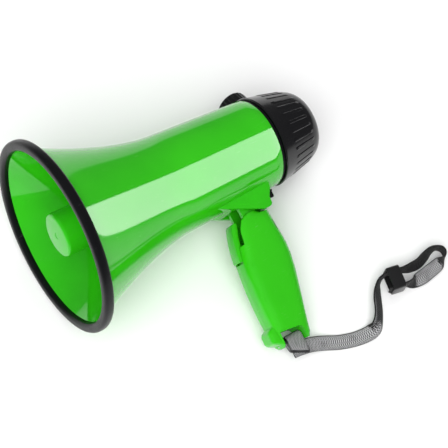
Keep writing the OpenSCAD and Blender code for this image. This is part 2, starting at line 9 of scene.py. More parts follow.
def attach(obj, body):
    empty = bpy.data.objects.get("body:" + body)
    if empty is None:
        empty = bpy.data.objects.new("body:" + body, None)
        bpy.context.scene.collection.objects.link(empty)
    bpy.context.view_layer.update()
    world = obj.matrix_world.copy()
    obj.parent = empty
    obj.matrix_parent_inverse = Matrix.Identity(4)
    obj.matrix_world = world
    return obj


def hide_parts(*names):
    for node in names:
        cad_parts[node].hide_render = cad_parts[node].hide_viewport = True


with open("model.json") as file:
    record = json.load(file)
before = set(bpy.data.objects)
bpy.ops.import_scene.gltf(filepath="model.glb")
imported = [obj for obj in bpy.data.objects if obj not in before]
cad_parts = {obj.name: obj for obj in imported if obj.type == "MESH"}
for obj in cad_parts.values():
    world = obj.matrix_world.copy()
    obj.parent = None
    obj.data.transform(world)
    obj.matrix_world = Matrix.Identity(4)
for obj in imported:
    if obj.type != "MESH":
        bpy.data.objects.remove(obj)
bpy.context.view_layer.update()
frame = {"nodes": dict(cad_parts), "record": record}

# ---- horn ----
# Glossy green ABS, injection moulded in one piece: flared bell, tapering drum and the wall across it that
# carries the driver, with a round hole for the throat in the wall's middle.

# The megaphone lies on its right side on rim, cap shoulder and grip foot. Two of its joints give the
# directions: the cap slides along the horn, and the grip folds about a pin across it. The horn's own frame is
# in metres: x from the horn axis towards the grip, y towards the side it lies on, z from mouth to back.
joint = {j["name"]: j for j in frame["record"]["behaviour"]["joints"]}
knob_z = 0.203
along = Vector(joint["cap_pull"]["axis"]).normalized()
across = Vector(joint["handle_fold"]["axis"]).normalized()
down = across.cross(along)
lie = Matrix((down, across, along)).transposed().to_4x4()
lie.translation = Vector(joint["volume_turn"]["pos_m"]) - knob_z * along


def piece(name, rings, closed_rings=True, loop=False, caps=False, place=lie, cut=40):
    """Rings of points joined by faces. Folds over `cut` degrees stay crisp, and `place` moves the points."""
    bm = bmesh.new()
    uv = bm.loops.layers.uv.new("along")
    grid = [[bm.verts.new(p) for p in ring] for ring in rings]
    n, m = len(grid), len(grid[0])
    run = [0.0]
    for a, b in zip(rings, rings[1:]):
        run.append(run[-1] + (Vector(b[0]) - Vector(a[0])).length)
    for i in range(n if loop else n - 1):
        for k in range(m if closed_rings else m - 1):
            corners = [(i, k), (i, k + 1), (i + 1, k + 1), (i + 1, k)]
            f = bm.faces.new([grid[a % n][b % m] for a, b in corners])
            f.smooth = True
            for corner, (a, b) in zip(f.loops, corners):
                corner[uv].uv = (b / m, run[a % n] if a < n else run[-1])
    if caps:
        bm.faces.new(grid[0])
        bm.faces.new(list(reversed(grid[-1])))
    bmesh.ops.recalc_face_normals(bm, faces=bm.faces)
    for e in bm.edges:
        if len(e.link_faces) == 2 and e.calc_face_angle(0) > radians(cut):
            e.smooth = False
    mesh = bpy.data.meshes.new(name)
    bm.to_mesh(mesh)
    bm.free()
    mesh.transform(place)
    obj = bpy.data.objects.new(name, mesh)
    bpy.context.scene.collection.objects.link(obj)
    return obj


def on_circle(r, z, a):
    return (r * cos(a), r * sin(a), z)


def turned(name, outline, steps=192, shape=on_circle, place=lie):
    """A closed outline of (radius, height) points turned about the axis of its frame."""
    angles = [2 * pi * k / steps for k in range(steps)]
    return piece(name, [[shape(r, z, a) for r, z in outline] for a in angles], loop=True, place=place)


def bezier(p, steps):
    """Points of a cubic curve from p[0] to p[3], both ends included."""
    out = []
    for k in range(steps + 1):
        t = k / steps
        out.append(tuple((1 - t) ** 3 * a + 3 * t * (1 - t) ** 2 * b + 3 * t * t * (1 - t) * c + t ** 3 * d
                         for a, b, c, d in zip(*p)))
    return out


bell_r, bell_z = 0.0734, 0.003
drum_r, drum_z = 0.0406, 0.104
back_r, back_z = 0.0372, 0.1905
skin = 0.0026
wall_front, wall_back = 0.0996, 0.1026
throat_r = 0.0130
fillet = 0.0004
flare = bezier(((bell_r, bell_z), (0.0608, 0.024), (0.0422, 0.073), (drum_r, drum_z)), 60)
drum = [(drum_r + (back_r - drum_r) * k / 12, drum_z + (back_z - drum_z) * k / 12) for k in range(1, 12)]
back_edge = [(back_r, back_z - 0.0005), (back_r - 0.0003, back_z), (back_r - 0.0021, back_z),
             (back_r - 0.0024, back_z - 0.0005)]
wall = [(drum_r - skin, wall_back + fillet), (drum_r - skin - fillet, wall_back),
        (throat_r + fillet, wall_back), (throat_r, wall_back - fillet), (throat_r, wall_front + fillet),
        (throat_r + fillet, wall_front), (0.0366, wall_front), (0.0376, wall_front - fillet)]
bell_inside = [(r - skin, z) for r, z in reversed(flare) if z < 0.0975]
lip = [(bell_r - 0.0022, bell_z), (bell_r - 0.0004, bell_z)]
horn = turned("horn_body", flare[1:] + drum + back_edge + wall + bell_inside[:-1] + lip, steps=224)


def add(tree, kind, inputs=None, **settings):
    """A node with its inputs set to values or linked to sockets."""
    n = tree.nodes.new(kind)
    for key, value in settings.items():
        setattr(n, key, value)
    for key, value in (inputs or {}).items():
        if isinstance(value, bpy.types.NodeSocket):
            tree.links.new(value, n.inputs[key])
        else:
            n.inputs[key].default_value = value
    return n


def mix(tree, a, b, factor):
    return add(tree, "ShaderNodeMix", {0: factor, 6: a, 7: b}, data_type="RGBA").outputs[2]


def calc(tree, op, a, b=0.0, clamp=False):
    return add(tree, "ShaderNodeMath", {0: a, 1: b}, operation=op, use_clamp=clamp).outputs[0]


def ramp(tree, value, low, high, out_low=0.0, out_high=1.0):
    return add(tree, "ShaderNodeMapRange", {"Value": value, "From Min": low, "From Max": high,
               "To Min": out_low, "To Max": out_high}).outputs["Result"]


def group(name, inputs, outputs):
    """A node group with named sockets: its tree, the sockets it is given and the node for its results."""
    tree = bpy.data.node_groups.new(name, "ShaderNodeTree")
    kinds = {"Color": "NodeSocketColor", "Float": "NodeSocketFloat", "Vector": "NodeSocketVector"}
    for key, value in inputs.items():
        kind = "Color" if isinstance(value, tuple) else "Float"
        s = tree.interface.new_socket(key, in_out="INPUT", socket_type=kinds[kind])
        s.default_value = (*value, 1) if kind == "Color" else value
    for key, kind in outputs.items():
        tree.interface.new_socket(key, in_out="OUTPUT", socket_type=kinds[kind])
    return tree, tree.nodes.new("NodeGroupInput").outputs, tree.nodes.new("NodeGroupOutput")


# Moulded plastic or rubber: slow drift between two colours, fine scratches in worn patches, a faint grain and
# slightly softened edges.
tree, given, out = group("moulded skin", {
    "Colour": (0.5, 0.5, 0.5), "Deep Colour": (0.4, 0.4, 0.4), "Scuff Colour": (0.7, 0.7, 0.7),
    "Gloss Roughness": 0.12, "Scuffed Roughness": 0.4, "Wear And Highlight": 0.3, "Grain Scale": 900.0, "Grain": 0.05,
    "Edge": 0.0003}, {"Color": "Color", "Roughness": "Float", "Normal": "Vector"})
at = add(tree, "ShaderNodeTexCoord").outputs["Object"]
cloud = add(tree, "ShaderNodeTexNoise", {"Vector": at, "Scale": 17.0, "Detail": 3.0}).outputs["Fac"]
flow = add(tree, "ShaderNodeTexNoise", {"Vector": at, "Scale": 60.0, "Detail": 5.0, "Roughness": 0.65,
           "Distortion": 0.6}).outputs["Fac"]
long_way = add(tree, "ShaderNodeMapping", {"Vector": at, "Rotation": (0.4, 0.9, 0.2),
               "Scale": (60.0, 1100.0, 420.0)}).outputs["Vector"]
scratch = add(tree, "ShaderNodeTexNoise", {"Vector": long_way, "Scale": 1.0, "Detail": 2.0}).outputs["Fac"]
scratch = ramp(tree, scratch, 0.66, 0.74)
patch = ramp(tree, flow, 0.48, 0.72)
worn = calc(tree, "MULTIPLY", calc(tree, "MULTIPLY", scratch, patch), given["Wear And Highlight"], clamp=True)
body = mix(tree, given["Colour"], given["Deep Colour"], ramp(tree, cloud, 0.3, 0.75))
tree.links.new(mix(tree, body, given["Scuff Colour"], worn), out.inputs["Color"])
faint = calc(tree, "MULTIPLY", patch, calc(tree, "MULTIPLY", given["Wear And Highlight"], 0.25))
dull = calc(tree, "ADD", calc(tree, "MULTIPLY", worn, 0.8), faint, clamp=True)
span = calc(tree, "SUBTRACT", given["Scuffed Roughness"], given["Gloss Roughness"])
rough = calc(tree, "ADD", given["Gloss Roughness"], calc(tree, "MULTIPLY", span, dull))
tree.links.new(rough, out.inputs["Roughness"])
grain = add(tree, "ShaderNodeTexNoise", {"Vector": at, "Scale": given["Grain Scale"],
            "Detail": 3.0}).outputs["Fac"]
edge = add(tree, "ShaderNodeBevel", {"Radius": given["Edge"]}, samples=4).outputs["Normal"]
height = calc(tree, "SUBTRACT", grain, calc(tree, "MULTIPLY", worn, 0.5))
relief = add(tree, "ShaderNodeBump", {"Strength": given["Grain"], "Distance": 0.0004, "Height": height,
             "Normal": edge})
tree.links.new(relief.outputs["Normal"], out.inputs["Normal"])
moulded_skin = tree


def material(name, effect, inputs, shader=None, bump=(0.6, 0.0003)):
    """A surface that takes colour, roughness and relief from an effect, and its constants from `shader`."""
    m = bpy.data.materials.new(name)
    m.use_nodes = True
    nodes, links = m.node_tree.nodes, m.node_tree.links
    surface = nodes["Principled BSDF"]
    fx = nodes.new("ShaderNodeGroup")
    fx.node_tree = effect
    for key, value in inputs.items():
        fx.inputs[key].default_value = (*value, 1) if isinstance(value, tuple) else value
    links.new(fx.outputs["Color"], surface.inputs["Base Color"])
    for key in ("Roughness", "Normal"):
        if key in fx.outputs:
            links.new(fx.outputs[key], surface.inputs[key])
    if "Height" in fx.outputs:
        relief = nodes.new("ShaderNodeBump")
        relief.inputs["Strength"].default_value, relief.inputs["Distance"].default_value = bump
        links.new(fx.outputs["Height"], relief.inputs["Height"])
        links.new(relief.outputs["Normal"], surface.inputs["Normal"])
    for key, value in (shader or {}).items():
        surface.inputs[key].default_value = value
    return m


def moulded(name, colour, deep, scuff, gloss, scuffed, wear_and_highlight, grain_scale, grain, edge=0.0003, shader=None):
    return material(name, moulded_skin, {
        "Colour": colour, "Deep Colour": deep, "Scuff Colour": scuff, "Gloss Roughness": gloss,
        "Scuffed Roughness": scuffed, "Wear And Highlight": wear_and_highlight, "Grain Scale": grain_scale, "Grain": grain, "Edge": edge},
        shader)


def fit(obj, surface, body, finish, *replaced):
    """Material, the body the piece rides on, the record's slot (not used) and the CAD nodes it stands for."""
    obj.data.materials.append(surface)
    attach(obj, body)
    if replaced:
        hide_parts(*replaced)


HORN = moulded("horn_green", (0.03, 0.50, 0.006), (0.022, 0.43, 0.004), (0.25, 0.62, 0.2), gloss=0.07,
               scuffed=0.3, wear_and_highlight=0.3, grain_scale=260.0, grain=0.02,
               shader={"IOR": 1.5, "Coat Weight": 0.15, "Coat Roughness": 0.05})
fit(horn, HORN, "horn", "horn_green", "horn_shell")

# ---- driver bosses ----
# Three hollow screw posts, moulded with the horn, stand on the front of its wall. The driver's screws end in
# them, and they show deep in the bell round the reflector.
boss_circle = 0.028
boss_outline = [(0.0014, 0.0930), (0.0030, 0.0926), (0.0034, 0.0930), (0.0036, 0.0990), (0.0044, 0.0998),
                (0.0014, 0.0998)]
for k in range(3):
    spot = lie @ Matrix.Translation(on_circle(boss_circle, 0, radians(90 + 120 * k)))
    fit(turned(f"driver_boss_{k + 1}", boss_outline, steps=32, place=spot), HORN, "horn", "horn_green")

# ---- rim ring ----
# Soft black rubber bumper, moulded as a ring and pushed over the edge of the bell. It is matt, picks up dust
# and has a round nose.


def rounded(points, radius, steps=5):
    """A closed outline with its corners rounded."""
    out = []
    for i, p in enumerate(points):
        p = Vector(p)
        a, b = Vector(points[i - 1]) - p, Vector(points[(i + 1) % len(points)]) - p
        r = min(radius, 0.45 * a.length, 0.45 * b.length)
        a, b = p + a.normalized() * r, p + b.normalized() * r
        for k in range(steps + 1):
            t = k / steps
            out.append(tuple((1 - t) ** 2 * a + 2 * t * (1 - t) * p + t * t * b))
    return out


rim_in, rim_out, rim_deep = 0.0695, 0.0775, 0.008
rim_corners = [(rim_in, 0.0), (rim_out, 0.0), (rim_out, rim_deep), (rim_in, rim_deep)]
RUBBER = moulded("rim_rubber", (0.005, 0.005, 0.006), (0.003, 0.003, 0.004), (0.12, 0.12, 0.12), gloss=0.34,
                 scuffed=0.75, wear_and_highlight=0.8, grain_scale=1900.0, grain=0.22, shader={"Specular IOR Level": 0.2})
fit(turned("rim_bumper", rounded(rim_corners, 0.0034, steps=9), steps=256), RUBBER, "horn", "rim_rubber",
    "rim_ring")

# ---- reflector cup ----
# A second green moulding that hangs in the bell. Its closed end turns the sound back round the throat tube,
# and its skirt flares out behind. A small gate mark sits in the middle of its face.
cup_face = [(0.0002, 0.0064), (0.0022, 0.0064), (0.0026, 0.0060), (0.0150, 0.0060), (0.0162, 0.0062),
            (0.0170, 0.0068), (0.0174, 0.0078), (0.0175, 0.0090), (0.0179, 0.0400)]
skirt = bezier(((0.0181, 0.050), (0.0185, 0.062), (0.0195, 0.072), (0.0230, 0.078)), 16)
under = bezier(((0.0163, 0.050), (0.0165, 0.062), (0.0177, 0.073), (0.0214, 0.078)), 16)
hollow = [(0.0161, 0.0400), (0.0157, 0.0099), (0.0135, 0.0086), (0.0002, 0.0086)]
CUP = moulded("cup_green", (0.03, 0.50, 0.006), (0.024, 0.45, 0.005), (0.3, 0.66, 0.26), gloss=0.1,
              scuffed=0.34, wear_and_highlight=0.4, grain_scale=300.0, grain=0.03, shader={"IOR": 1.5})
fit(turned("reflector_body", cup_face + skirt + list(reversed(under)) + hollow, steps=160), CUP, "horn",
    "horn_green", "reflector_cup")

# ---- rear cap ----
# Black glossy ABS shell of the unit that twists off. Thirty low finger ribs run along it, its shoulder is
# rounded, a spigot reaches into the drum and a recess in its end holds the microphone.
cap_r, cap_z = 0.038, 0.1945
crown_z, end_z = 0.225, 0.238
slope = 0.215
corner_r = cap_r - slope * 0.0315
bead = 0.001
shoulder = [(cap_r - bead + bead * sin(pi / 12 * k), cap_z - bead * cos(pi / 12 * k)) for k in range(7)]
side = [(cap_r + (corner_r - cap_r) * k / 40, cap_z + (crown_z - cap_z) * k / 40) for k in range(1, 41)]
crown = bezier(((corner_r, crown_z), (corner_r - 0.0017, 0.233), (corner_r - 0.005, end_z), (0.018, end_z)),
               20)
recess = [(0.0160, end_z), (0.0155, 0.2376), (0.0155, 0.2346), (0.0190, 0.2346), (0.0190, 0.2356)]
cavity = [(0.0260, 0.2356), (0.0288, 0.2250), (0.0344, 0.1980), (0.0300, 0.1980), (0.0300, 0.1962),
          (0.0326, 0.1962)]
spigot = [(0.0326, 0.1859), (0.0330, 0.1855), (0.0339, 0.1855), (0.0343, 0.1859), (0.0343, 0.1933),
          (0.0345, 0.1935), (0.0360, 0.1935)]
rib_count, rib_lift = 30, 0.0005
rib_front, rib_back = 0.2055, 0.2275


def ribbed(r, z, a):
    """Points of the cap's outer skin rise along each rib and sink again at its ends."""
    lift = 0.0
    if rib_front < z < rib_back and r > max(0.03, 0.0338 - slope * (z - knob_z)):
        lengthwise = min(1.0, (z - rib_front) / 0.0015, (rib_back - z) / 0.0025)
        wave = cos(rib_count * (a - pi / rib_count))
        lift = rib_lift * max(0.0, lengthwise) * max(0.0, min(1.0, (wave - 0.35) / 0.3))
    return on_circle(r + lift, z, a)


CAP = moulded("cap_black", (0.004, 0.004, 0.005), (0.002, 0.002, 0.003), (0.06, 0.06, 0.06), gloss=0.16,
              scuffed=0.5, wear_and_highlight=0.55, grain_scale=700.0, grain=0.06, shader={"IOR": 1.5})
fit(turned("cap_body", shoulder + side + crown[1:] + recess + cavity + spigot, steps=720, shape=ribbed), CAP,
    "rear_unit", "cap_black", "rear_cap")

# ---- volume knob and its seat ----
# The knob is a fluted black moulding pressed on the shaft of the volume control. It turns on a low round seat
# that is moulded with the cap.


def dress(surface, *names, crisp=32, soften=0.0):
    """Gives CAD nodes a surface, smooth shading with folds over `crisp` degrees kept, and softened edges."""
    for name in names:
        o = frame["nodes"][name]
        o.data.materials.clear()
        o.data.materials.append(surface)
        if "custom_normal" in o.data.attributes:
            o.data.attributes.remove(o.data.attributes["custom_normal"])
        for p in o.data.polygons:
            p.use_smooth = True
        weld = o.modifiers.new("weld", "WELD")
        weld.merge_threshold = 1e-6
        if soften:
            soft = o.modifiers.new("soft edges", "BEVEL")
            soft.width = soften
            soft.segments = 3
            soft.limit_method = "ANGLE"
            soft.angle_limit = radians(50)
            soft.use_clamp_overlap = True
        split = o.modifiers.new("split", "EDGE_SPLIT")
        split.split_angle = radians(crisp)
        split.use_edge_sharp = False


knob_angle = radians(145)
knob_turn = Matrix.Rotation(knob_angle, 4, "Z") @ Matrix.Rotation(radians(90), 4, "Y")
knob_place = lie @ Matrix.Translation((0, 0, knob_z)) @ knob_turn
seat_outline = [(0.0035, 0.0345), (0.0090, 0.0345), (0.0090, 0.0374), (0.0087, 0.0377), (0.0035, 0.0377)]
fit(turned("knob_seat", seat_outline, steps=64, place=knob_place), CAP, "rear_unit", "cap_black")
dress(CAP, "volume_knob")

# ---- sealing ring ----
# A thin black rubber ring sits between drum and cap. It keeps splashes out and grips the cap as it twists.
dress(RUBBER, "cap_seal")

# ---- microphone ----
# A slotted black grille is pressed into the end of the cap. Grey open foam behind it keeps breath off the
# capsule.
GRILLE = moulded("grille_black", (0.012, 0.012, 0.013), (0.008, 0.008, 0.008), (0.1, 0.1, 0.1), gloss=0.3,
                 scuffed=0.55, wear_and_highlight=0.4, grain_scale=1200.0, grain=0.1, edge=0.0002)
dress(GRILLE, "mic_grille")

# Foam: painted shade in the pores between lighter cell walls.
tree, given, out = group("open cells", {"Colour": (0.1, 0.1, 0.1), "Pore Shade Colour": (0.01, 0.01, 0.01),
                         "Cell Scale": 900.0}, {"Color": "Color", "Height": "Float"})
at = add(tree, "ShaderNodeTexCoord").outputs["Object"]
cell = add(tree, "ShaderNodeTexVoronoi", {"Vector": at, "Scale": given["Cell Scale"]}).outputs["Distance"]
cell_wall = ramp(tree, cell, 0.15, 0.6)
tree.links.new(mix(tree, given["Pore Shade Colour"], given["Colour"], cell_wall), out.inputs["Color"])
tree.links.new(cell_wall, out.inputs["Height"])
FOAM = material("foam_grey", tree, {"Colour": (0.09, 0.09, 0.095), "Pore Shade Colour": (0.01, 0.01, 0.01),
                "Cell Scale": 1100.0}, {"Roughness": 0.95}, bump=(0.9, 0.0006))
dress(FOAM, "mic_foam")

# ---- mode lever ----
# A small black moulded lever stands out of the drum just behind the bracket. It slides 3 mm along the horn,
# between the two settings of the mode switch inside.
dress(CAP, "mode_slider")

# ---- bracket ----
# Green ABS moulding, held under the drum by four screws. Its two lugs carry the pin that the grip folds on,
# and its edges are rounded like those of the horn.
dress(HORN, "handle_bracket", soften=0.0007)

# ---- grip and trigger ----
# The pistol grip is two green mouldings held by three screws, and folds on a steel pin between the lugs of
# the bracket. The talk trigger turns on a pin of its own in the front of the grip.
GRIP = moulded("grip_green", (0.035, 0.52, 0.007), (0.026, 0.46, 0.005), (0.28, 0.64, 0.22), gloss=0.16,
               scuffed=0.4, wear_and_highlight=0.5, grain_scale=800.0, grain=0.05, edge=0.0006, shader={"IOR": 1.5})
dress(GRIP, "grip_left", "grip_right", crisp=34)
dress(GRIP, "trigger", crisp=34, soften=0.0013)

# ---- strap end ----
# The end of the black polyester webbing is folded round the steel bar in the grip's toe and stitched to
# itself. The fold is a flat loop, longer on the side where the strap leaves it.
bar_x, bar_gap = 0.1502, 0.0030
bight_z, bight_w = 0.132, 0.014
outer, inner = [], []
for j in range(13):
    v = j / 12
    far = bar_x + 0.0058 + 0.0068 * v
    thick = 0.0008 * (0.45 + 0.55 * sqrt(max(0, 1 - (2 * v - 1) ** 8)))
    sag = 0.0012 * sin(pi * v)
    for ring, side in ((outer, 1), (inner, -1)):
        near_r, far_r = bar_gap + 0.0004 + side * thick, bar_gap + side * thick
        half = [pi / 2 - pi * k / 12 for k in range(13)]
        turn = [(far + far_r * cos(a), far_r * sin(a)) for a in half]
        turn += [(far + (bar_x - far) * k / 8, -far_r + (far_r - near_r) * k / 8) for k in range(1, 8)]
        turn += [(bar_x - near_r * cos(a), -near_r * sin(a)) for a in half]
        turn += [(bar_x + (far - bar_x) * k / 8, near_r + (far_r - near_r) * k / 8) for k in range(1, 8)]
        ring.append([(x, y - sag * (x - bar_x) / 0.012, bight_z + bight_w * v) for x, y in turn])
strap_end = piece("strap_end", outer + list(reversed(inner)), loop=True, cut=70)

# Woven webbing: crossing threads run slantwise both ways, with painted shade in the gaps between them. A
# painted highlight greys the tops of the threads where the web lies face up, in patches, away from its
# bound edges.
tree, given, out = group("woven web", {
    "Thread Colour": (0.02, 0.02, 0.02), "Gap Shade Colour": (0.004, 0.004, 0.004), "Painted Highlight Colour": (0.2, 0.2, 0.2),
    "Picks": 720.0, "Ends": 14.0, "Wear And Highlight": 0.5, "Selvedge": 1.0},
    {"Color": "Color", "Roughness": "Float", "Height": "Float"})
uv = add(tree, "ShaderNodeUVMap", uv_map="along").outputs["UV"]
parts = add(tree, "ShaderNodeSeparateXYZ", {"Vector": uv}).outputs
warp = calc(tree, "MULTIPLY", parts["X"], calc(tree, "MULTIPLY", given["Ends"], 2 * pi))
weft = calc(tree, "MULTIPLY", parts["Y"], calc(tree, "MULTIPLY", given["Picks"], 2 * pi))
one_way = calc(tree, "ABSOLUTE", calc(tree, "SINE", calc(tree, "ADD", weft, warp)))
other_way = calc(tree, "ABSOLUTE", calc(tree, "SINE", calc(tree, "SUBTRACT", weft, warp)))
bead_top = ramp(tree, calc(tree, "MULTIPLY", one_way, other_way), 0.12, 0.55)
at = add(tree, "ShaderNodeTexCoord").outputs["Object"]
fuzz = add(tree, "ShaderNodeTexNoise", {"Vector": at, "Scale": 2600.0, "Detail": 4.0}).outputs["Fac"]
highlight_patches = add(tree, "ShaderNodeTexNoise", {"Vector": at, "Scale": 90.0, "Detail": 4.0}).outputs["Fac"]
height = calc(tree, "ADD", bead_top, calc(tree, "MULTIPLY", fuzz, 0.35), clamp=True)
tree.links.new(height, out.inputs["Height"])
# Painted shade: the gaps between the threads take a darker copy of the thread colour.
thread_and_gap_shade = mix(tree, given["Gap Shade Colour"], given["Thread Colour"], height)
# Painted highlight: thread tops facing up go light grey, in patches and away from the web's edges.
facing = add(tree, "ShaderNodeNewGeometry").outputs["True Normal"]
faces_up = ramp(tree, add(tree, "ShaderNodeSeparateXYZ", {"Vector": facing}).outputs["Z"], 0.66, 0.76)
painted_highlight = calc(tree, "MULTIPLY", ramp(tree, height, 0.25, 0.7), ramp(tree, highlight_patches, 0.2, 0.45, 0.4, 1.0))
painted_highlight = calc(tree, "MULTIPLY", painted_highlight, faces_up)
face = calc(tree, "ABSOLUTE", calc(tree, "SINE", calc(tree, "MULTIPLY", parts["X"], 2 * pi)))
middle = calc(tree, "MAXIMUM", ramp(tree, face, 0.5, 0.66), calc(tree, "SUBTRACT", 1.0, given["Selvedge"]))
painted_highlight = calc(tree, "MULTIPLY", painted_highlight, calc(tree, "MULTIPLY", middle, given["Wear And Highlight"]), clamp=True)
tree.links.new(mix(tree, thread_and_gap_shade, given["Painted Highlight Colour"], painted_highlight), out.inputs["Color"])
tree.links.new(ramp(tree, fuzz, 0.3, 0.7, 0.55, 0.85), out.inputs["Roughness"])
woven_web = tree


def webbing(name, ends, wear_and_highlight, selvedge):
    # Light grey painted highlight on the thread tops, near-black painted shade in the gaps.
    return material(name, woven_web, {
        "Thread Colour": (0.012, 0.012, 0.013), "Gap Shade Colour": (0.003, 0.003, 0.003),
        "Painted Highlight Colour": (0.5, 0.5, 0.51), "Picks": 330.0, "Ends": ends, "Wear And Highlight": wear_and_highlight, "Selvedge": selvedge},
        {"Sheen Weight": 0.1, "Sheen Roughness": 0.4, "Specular IOR Level": 0.35}, bump=(0.9, 0.0004))


fit(strap_end, webbing("webbing_end_black", 12.0, 0.9, 0.0), "grip", "webbing_black", "strap_loop")

# ---- strap keeper ----
# A short sleeve moulded in black plastic. It slides along both sides of the hand loop and holds them
# together, so that the loop can be drawn close round the wrist.
keeper_at, keeper_turn = Vector((0.1159, -0.1102, 0.00795)), radians(-13)
keeper_w, keeper_h, keeper_len = 0.0194, 0.0157, 0.011
ring_steps = [(0.0, -1), (0.0, -0.86), (0.0, 0.86), (0.0, 1), (0.0006, 1), (0.0015, 0.9), (0.0015, -0.9),
              (0.0006, -1)]
rings = []
for inset, reach in ring_steps:
    grow = 0.0004 if abs(reach) == 1 and inset == 0 else 0.0
    half_w, half_h = keeper_w / 2 - inset - grow, keeper_h / 2 - inset - grow
    corners = [(-half_w, -half_h), (half_w, -half_h), (half_w, half_h), (-half_w, half_h)]
    rings.append([(reach * keeper_len / 2, x, y) for x, y in rounded(corners, 0.0026 - inset)])
keeper_place = Matrix.Translation(keeper_at) @ Matrix.Rotation(keeper_turn, 4, "Z")
keeper = piece("strap_keeper", rings, loop=True, place=keeper_place, cut=60)
KEEPER = moulded("keeper_black", (0.012, 0.012, 0.013), (0.008, 0.008, 0.008), (0.12, 0.12, 0.12), gloss=0.28,
                 scuffed=0.6, wear_and_highlight=0.7, grain_scale=1500.0, grain=0.15, edge=0.0004)
fit(keeper, KEEPER, "grip", "cap_black", "strap_slider")

# ---- wrist strap ----
# Black woven polyester webbing. It leaves the bar in the grip's toe and lies flat on the table, then stands
# on its edge as a hand loop whose two sides meet in the keeper.

# The route gives x, y and height in millimetres and the web's tilt in degrees: 0 is flat, 90 is on edge.
STRAP_ROUTE = [
    (12, -116.5, 10.8, 14), (17, -117, 9.7, 14), (22, -117.8, 8.4, 14), (26.7, -118.6, 6.8, 13),
    (31.5, -119.7, 4.6, 11), (36.5, -121.5, 2.8, 8), (42, -124.1, 1.6, 3), (48.5, -127.6, 1, 0),
    (55, -130.4, 1, 0), (62, -132.8, 1, 0), (69, -134.3, 1.2, 2), (75.5, -135, 2.1, 10),
    (81, -134.3, 4.1, 32), (85, -131.4, 5.2, 46), (88.8, -127, 5.4, 50), (92.2, -121.8, 5.5, 50),
    (95.4, -116, 5.6, 50), (99.4, -110, 6, 58), (104.6, -104.6, 7, 76), (111.4, -102.7, 7.8, 90),
    (117.2, -103.6, 7.9, 90), (122.8, -105, 7.7, 90), (128, -106.6, 6.9, 80), (133.5, -108, 6.3, 66),
    (141, -108.6, 6.2, 60), (149, -106.6, 6.2, 60), (156, -104.8, 6.2, 74), (161.3, -105.3, 6.2, 90),
    (164.7, -108.3, 6.2, 90), (164.8, -112.6, 6.2, 90), (161.6, -116, 6.2, 98), (155.5, -117.6, 5.4, 142),
    (147, -118.6, 4.6, 152), (138, -119.6, 4.6, 152), (130.5, -119.4, 5.4, 136), (124.8, -118.8, 7.4, 98),
    (119.8, -117.8, 7.9, 90), (114, -116.6, 7.8, 90), (107.5, -115.4, 7.8, 90)]
web_w, web_t = 0.012, 0.0016


def spline(points, steps):
    """A smooth curve through the points, which may have any number of values each."""
    out = []
    for i in range(len(points) - 1):
        a, b = points[max(i - 1, 0)], points[i]
        c, d = points[i + 1], points[min(i + 2, len(points) - 1)]
        for k in range(steps):
            t = k / steps
            out.append([0.5 * (2 * q + (r - p) * t + (2 * p - 5 * q + 4 * r - s) * t * t
                               + (3 * q - p - 3 * r + s) * t ** 3) for p, q, r, s in zip(a, b, c, d)])
    return out + [list(points[-1])]


def signed_power(value, power):
    return abs(value) ** power * (1 if value > 0 else -1)


route = spline([(x / 1000, y / 1000, z / 1000, radians(tilt)) for x, y, z, tilt in STRAP_ROUTE], 5)
rings, strap_path = [], []
for i, (x, y, z, tilt) in enumerate(route):
    centre = Vector((x, y, z))
    onward = (Vector(route[min(i + 1, len(route) - 1)][:3]) - Vector(route[max(i - 1, 0)][:3])).normalized()
    left = Vector((-onward.y, onward.x, 0)).normalized()
    width = cos(tilt) * left + sin(tilt) * onward.cross(left)
    normal = onward.cross(width)
    turn = [2 * pi * (k + 0.5) / 20 for k in range(20)]
    rings.append([centre + width * (web_w / 2) * signed_power(cos(a), 0.35)
                  + normal * (web_t / 2) * signed_power(sin(a), 0.6) for a in turn])
    strap_path.append(centre)
strap = piece("hand_strap", rings, caps=True, place=Matrix.Identity(4), cut=70)
fit(strap, webbing("webbing_black", 9.0, 1.0, 1.0), "grip", "webbing_black", "wrist_strap")

# ---- screws, pins and springs ----
# Bright nickel-plated steel: turned pins, rolled screws, pressed plates and drawn spring wire. They hold the
# bracket, the grip and its trigger together and press on the cells.
tree, given, out = group("drawn metal", {
    "Colour": (0.6, 0.6, 0.6), "Stain Colour": (0.3, 0.28, 0.25), "Polish Roughness": 0.2, "Stain": 0.3,
    "Draw Scale": 1.0}, {"Color": "Color", "Roughness": "Float", "Normal": "Vector"})
at = add(tree, "ShaderNodeTexCoord").outputs["Object"]
drawn = add(tree, "ShaderNodeVectorMath", {0: at, "Scale": given["Draw Scale"]}, operation="SCALE").outputs[0]
lines = add(tree, "ShaderNodeMapping", {"Vector": drawn, "Scale": (300.0, 2600.0, 2600.0)}).outputs["Vector"]
lines = add(tree, "ShaderNodeTexNoise", {"Vector": lines, "Scale": 1.0, "Detail": 4.0}).outputs["Fac"]
blot = add(tree, "ShaderNodeTexNoise", {"Vector": at, "Scale": 140.0, "Detail": 6.0}).outputs["Fac"]
stained = calc(tree, "MULTIPLY", ramp(tree, blot, 0.46, 0.7), given["Stain"], clamp=True)
tree.links.new(mix(tree, given["Colour"], given["Stain Colour"], stained), out.inputs["Color"])
rough = calc(tree, "ADD", given["Polish Roughness"], calc(tree, "MULTIPLY", stained, 0.4))
rough = calc(tree, "ADD", rough, ramp(tree, lines, 0.3, 0.7, -0.05, 0.08), clamp=True)
tree.links.new(rough, out.inputs["Roughness"])
edge = add(tree, "ShaderNodeBevel", {"Radius": 0.00015}, samples=4).outputs["Normal"]
relief = add(tree, "ShaderNodeBump", {"Strength": 0.12, "Distance": 0.0001, "Height": lines, "Normal": edge})
tree.links.new(relief.outputs["Normal"], out.inputs["Normal"])
drawn_metal = tree

